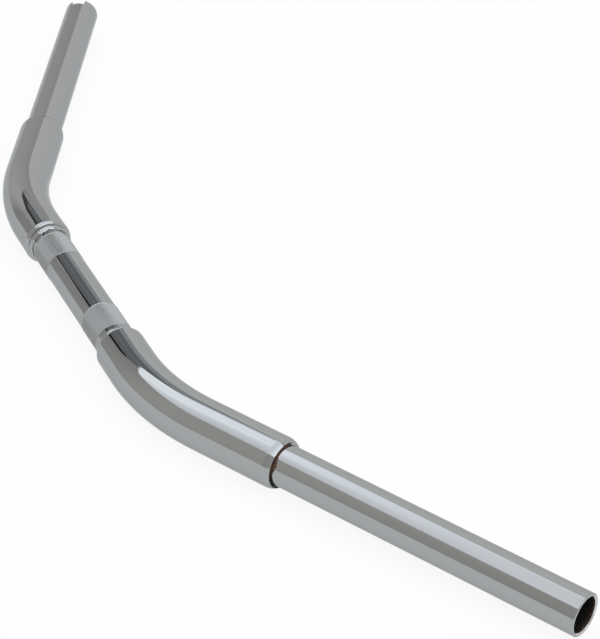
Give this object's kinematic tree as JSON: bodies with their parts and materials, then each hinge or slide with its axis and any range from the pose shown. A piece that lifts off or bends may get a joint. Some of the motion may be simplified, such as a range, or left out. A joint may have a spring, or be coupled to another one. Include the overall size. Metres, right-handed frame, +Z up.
{
  "type": "motorcycle handlebar",
  "caption": "Wide chromed steel handlebar with a slim knurled clamp tube, fat bent tubes swept back on each side and slim straight grip ends, one of them notched for the throttle.",
  "frame": {"origin": "middle of the clamp tube, on its axis, half-way between the two knurled bands", "axes": "+X along the clamp tube to the rider's left, +Y towards the rider (the pull-back), +Z up; the bar lies flat in the XY plane"},
  "size_m": [0.7966, 0.1648, 0.0318],
  "materials": {
    "chrome": "polished chrome plate on steel",
    "bare_braze": "oxidised brown braze that took no plating"
  },
  "bodies": {
    "root": {"clamp_tube": "chrome", "left_bend_tube": "chrome", "right_bend_tube": "chrome", "left_grip_tube": "chrome", "right_grip_tube": "chrome", "left_inner_weld": "chrome", "right_inner_weld": "chrome", "left_outer_braze": "bare_braze", "right_outer_braze": "bare_braze"}
  },
  "joints": []
}
